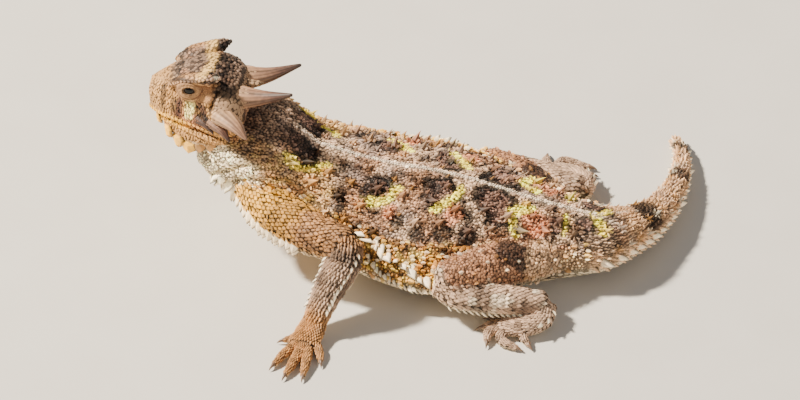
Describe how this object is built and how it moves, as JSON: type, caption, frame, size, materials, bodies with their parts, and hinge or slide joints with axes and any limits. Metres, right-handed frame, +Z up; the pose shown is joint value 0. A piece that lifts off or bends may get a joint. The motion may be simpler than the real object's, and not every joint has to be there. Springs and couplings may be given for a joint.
{
  "type": "Texas horned lizard model",
  "caption": "Life-size still model of a Texas horned lizard resting on its belly with the head raised, crown of horns, spiny back and curled tail.",
  "frame": {"origin": "on the floor, at the middle of the whole animal's box, under the middle of the back", "axes": "+X runs back from the head to the tail, +Y is the animal's right, +Z is up from the floor it lies on"},
  "size_m": [0.1103, 0.0929, 0.0433],
  "materials": {
    "skin": "dry scaly skin, grey-brown with dark blotches, pale yellow crescents and cream pointed scales, matt",
    "horn": "ridged horn, pinkish brown, satin with paler worn ridges and tips",
    "eye": "dark wet eye, glossy"
  },
  "bodies": {
    "root": {"torso": "skin", "neck": "skin", "head": "skin", "jaw": "skin", "tail_base": "skin", "tail_middle": "skin", "tail_tip": "skin", "upper_arm_left": "skin", "upper_arm_right": "skin", "forearm_left": "skin", "forearm_right": "skin", "hand_left": "skin", "hand_right": "skin", "thigh_left": "skin", "thigh_right": "skin", "shank_left": "skin", "shank_right": "skin", "foot_left": "skin", "foot_right": "skin", "horn_occipital_left": "horn", "horn_occipital_right": "horn", "horn_temporal_rear_left": "horn", "horn_temporal_rear_right": "horn", "horn_temporal_middle_left": "horn", "horn_temporal_middle_right": "horn", "horn_temporal_front_left": "horn", "horn_temporal_front_right": "horn", "eye_left": "eye", "eye_right": "eye"}
  },
  "joints": []
}
